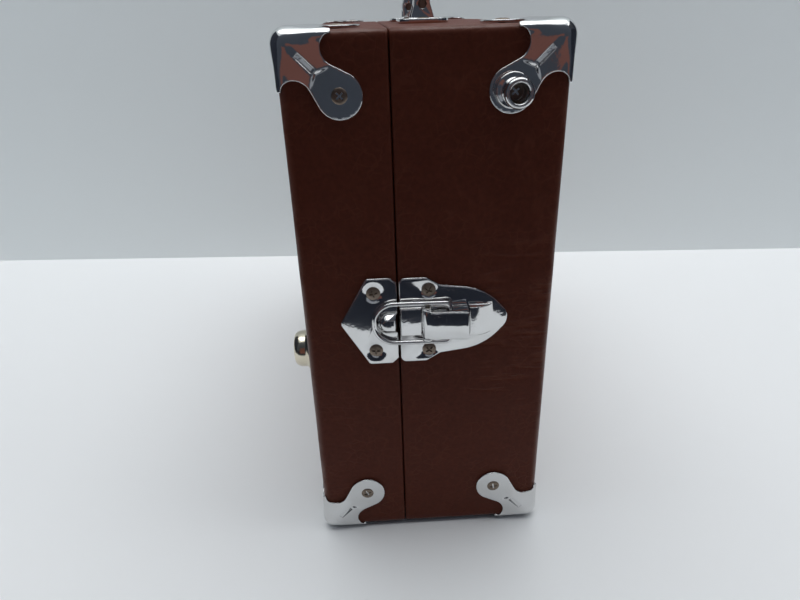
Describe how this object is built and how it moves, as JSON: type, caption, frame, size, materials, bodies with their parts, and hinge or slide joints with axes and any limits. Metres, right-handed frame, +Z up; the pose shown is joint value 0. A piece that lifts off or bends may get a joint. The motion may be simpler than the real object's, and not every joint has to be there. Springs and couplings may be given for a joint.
{
  "type": "tube tester",
  "caption": "Portable tube tester in a brown leatherette carrying case with chrome corners, draw latches, folding handle and lift-off lid over a panel with meter, sockets and controls.",
  "frame": {"origin": "on the surface that the closed case stands on, under the middle of its box", "axes": "+Z up, +Y along the case away from the pictured end, +X from the lid towards the base's rear"},
  "size_m": [0.122, 0.307, 0.2727],
  "materials": {
    "leatherette": "brown grained leatherette",
    "plywood": "sanded plywood",
    "lip_paint": "black painted wood",
    "chrome": "polished plate, slightly worn",
    "screw_steel": "plated steel",
    "panel_enamel": "satin grey enamel",
    "bakelite": "black moulded plastic",
    "switch_metal": "plated steel",
    "button_red": "red moulded plastic",
    "dial_card": "printed card",
    "needle_black": "black painted",
    "window_glass": "clear",
    "jewel_red": "red lens",
    "core_iron": "black lacquered laminations",
    "coil_paper": "varnished paper wrap"
  },
  "bodies": {
    "base": {"base_covering": "leatherette", "base_box": "plywood", "panel_rails": "plywood", "locating_lip": "lip_paint", "base_corner_upper_near": "chrome", "base_corner_upper_far": "chrome", "base_corner_lower_near": "chrome", "base_corner_lower_far": "chrome", "strap_stud_near": "chrome", "strap_stud_far": "chrome", "handle_bracket_near": "chrome", "handle_bracket_far": "chrome", "latch_plate_near": "chrome", "latch_plate_far": "chrome", "rear_feet": "chrome", "base_screws": "screw_steel", "base_long_screws": "screw_steel", "panel_screws": "screw_steel", "latch_pins": "screw_steel", "handle_pins": "screw_steel", "panel": "panel_enamel", "meter_body": "bakelite", "socket_octal": "bakelite", "socket_noval": "bakelite", "socket_miniature": "bakelite", "mains_inlet": "bakelite", "heater_control": "switch_metal", "load_control": "switch_metal", "toggle_switch": "switch_metal", "button_switch": "switch_metal", "meter_dial": "dial_card", "meter_window": "window_glass", "pilot_jewel": "jewel_red", "transformer_core": "core_iron", "transformer_coil": "coil_paper"},
    "lid": {"lid_box": "plywood", "lid_covering": "leatherette", "lid_screws": "screw_steel", "lid_foot_screws": "screw_steel", "lid_feet": "chrome", "lid_corner_upper_near": "chrome", "lid_corner_upper_far": "chrome", "lid_corner_lower_near": "chrome", "lid_corner_lower_far": "chrome", "catch_plate_near": "chrome", "catch_plate_far": "chrome"},
    "near_lever": {"latch_lever_near": "chrome"},
    "near_bail": {"latch_bail_near": "chrome"},
    "far_lever": {"latch_lever_far": "chrome"},
    "far_bail": {"latch_bail_far": "chrome"},
    "handle": {"handle_bow": "chrome"},
    "needle": {"meter_needle": "needle_black"},
    "heater_dial": {"heater_knob": "bakelite", "heater_shaft": "screw_steel"},
    "load_dial": {"load_knob": "bakelite", "load_shaft": "screw_steel"},
    "toggle": {"toggle_lever": "screw_steel"},
    "button": {"test_button": "button_red"}
  },
  "joints": [
    {"name": "lid_lift", "type": "slide", "parent": "base", "child": "lid", "axis": [-1, 0, 0], "range_m": [0, 0.06]},
    {"name": "near_lever_turn", "type": "hinge", "parent": "base", "child": "near_lever", "pos_m": [-0.0006, -0.144, 0.1159], "axis": [0, 0, -1], "range_deg": [0, 111]},
    {"name": "near_bail_swing", "type": "hinge", "parent": "near_lever", "child": "near_bail", "pos_m": [0.0088, -0.1434, 0.1159], "axis": [0, 0, 1], "range_deg": [0, 256]},
    {"name": "far_lever_turn", "type": "hinge", "parent": "base", "child": "far_lever", "pos_m": [-0.0006, 0.144, 0.1159], "axis": [0, 0, 1], "range_deg": [0, 111]},
    {"name": "far_bail_swing", "type": "hinge", "parent": "far_lever", "child": "far_bail", "pos_m": [0.0088, 0.1434, 0.1159], "axis": [0, 0, -1], "range_deg": [0, 256]},
    {"name": "handle_fold", "type": "hinge", "parent": "base", "child": "handle", "pos_m": [0.006, 0, 0.2357], "axis": [0, 1, 0], "range_deg": [-75, 75]},
    {"name": "needle_swing", "type": "hinge", "parent": "base", "child": "needle", "pos_m": [-0.01045, 0.064, 0.1387], "axis": [1, 0, 0], "range_deg": [0, 90], "stiffness_Nm_per_rad": 0.0002},
    {"name": "heater_turn", "type": "hinge", "parent": "base", "child": "heater_dial", "pos_m": [-0.01045, 0.084, 0.0607], "axis": [1, 0, 0], "range_deg": [0, 300]},
    {"name": "load_turn", "type": "hinge", "parent": "base", "child": "load_dial", "pos_m": [-0.01045, 0.026, 0.0607], "axis": [1, 0, 0], "range_deg": [0, 300]},
    {"name": "toggle_flip", "type": "hinge", "parent": "base", "child": "toggle", "pos_m": [-0.01445, -0.066, 0.0607], "axis": [0, 1, 0], "range_deg": [0, 24]},
    {"name": "button_press", "type": "slide", "parent": "base", "child": "button", "axis": [1, 0, 0], "range_m": [0, 0.003], "stiffness_N_per_m": 400}
  ],
  "couplings": [
    {"joint": "near_lever_turn", "follows": "lid_lift", "rad_per_m": 32},
    {"joint": "near_bail_swing", "follows": "lid_lift", "rad_per_m": 74.2},
    {"joint": "far_lever_turn", "follows": "lid_lift", "rad_per_m": 32},
    {"joint": "far_bail_swing", "follows": "lid_lift", "rad_per_m": 74.2}
  ]
}
